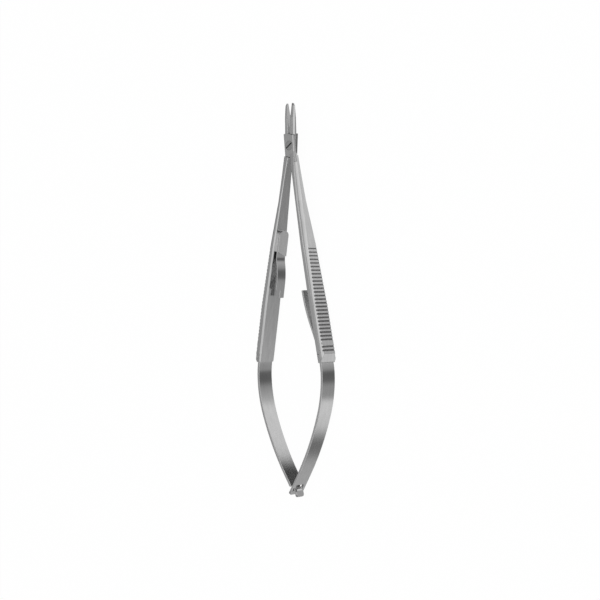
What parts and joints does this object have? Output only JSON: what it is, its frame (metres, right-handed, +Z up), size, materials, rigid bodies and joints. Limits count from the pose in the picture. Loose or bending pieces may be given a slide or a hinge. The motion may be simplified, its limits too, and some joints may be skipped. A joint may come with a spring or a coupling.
{
  "type": "surgical needle holder",
  "caption": "Straight micro-surgery needle holder with fine jaws, a screw joint, bowed leaf-spring handles with cross grooves, and a catch lock, lying open.",
  "frame": {"origin": "middle of the footprint on the table, under the closed gap between the handles", "axes": "+Y along the instrument to the jaw tips, +Z up along the pivot screw's axis, +X to the handle whose half carries the upper lap"},
  "size_m": [0.032, 0.14, 0.0079],
  "materials": {
    "satin_steel": "satin brushed stainless steel",
    "spring_steel": "fine brushed spring steel",
    "screw_steel": "turned stainless steel"
  },
  "bodies": {
    "lower_half": {"lower_half": "satin_steel", "pivot_screw": "screw_steel", "catch_plate": "satin_steel"},
    "upper_half": {"upper_half": "satin_steel", "lock_tongue": "satin_steel"},
    "left_spring": {"left_spring": "spring_steel"},
    "right_spring": {"right_spring": "spring_steel"},
    "catch_leaf": {"catch_leaf": "spring_steel"}
  },
  "joints": [
    {"name": "jaw_pivot", "type": "hinge", "parent": "lower_half", "child": "upper_half", "pos_m": [0, 0.05497, 0.00395], "axis": [0, 0, -1], "range_deg": [0, 8], "stiffness_Nm_per_rad": 0.05},
    {"name": "left_spring_flex", "type": "hinge", "parent": "lower_half", "child": "left_spring", "pos_m": [-0.01448, -0.02197, 0.00395], "axis": [0, 0, -1], "range_deg": [0, 11.2], "deforming": ["left_spring"]},
    {"name": "right_spring_flex", "type": "hinge", "parent": "upper_half", "child": "right_spring", "pos_m": [0.01448, -0.02197, 0.00395], "axis": [0, 0, 1], "range_deg": [0, 11.2], "deforming": ["right_spring"]},
    {"name": "catch_leaf_flex", "type": "hinge", "parent": "lower_half", "child": "catch_leaf", "pos_m": [-0.00596, 0.01582, 0.00395], "axis": [0, 0, -1], "range_deg": [0, 4], "stiffness_Nm_per_rad": 0.002, "deforming": ["catch_leaf"]}
  ],
  "couplings": [
    {"joint": "left_spring_flex", "follows": "jaw_pivot", "ratio": 1.354},
    {"joint": "right_spring_flex", "follows": "jaw_pivot", "ratio": 1.354}
  ]
}
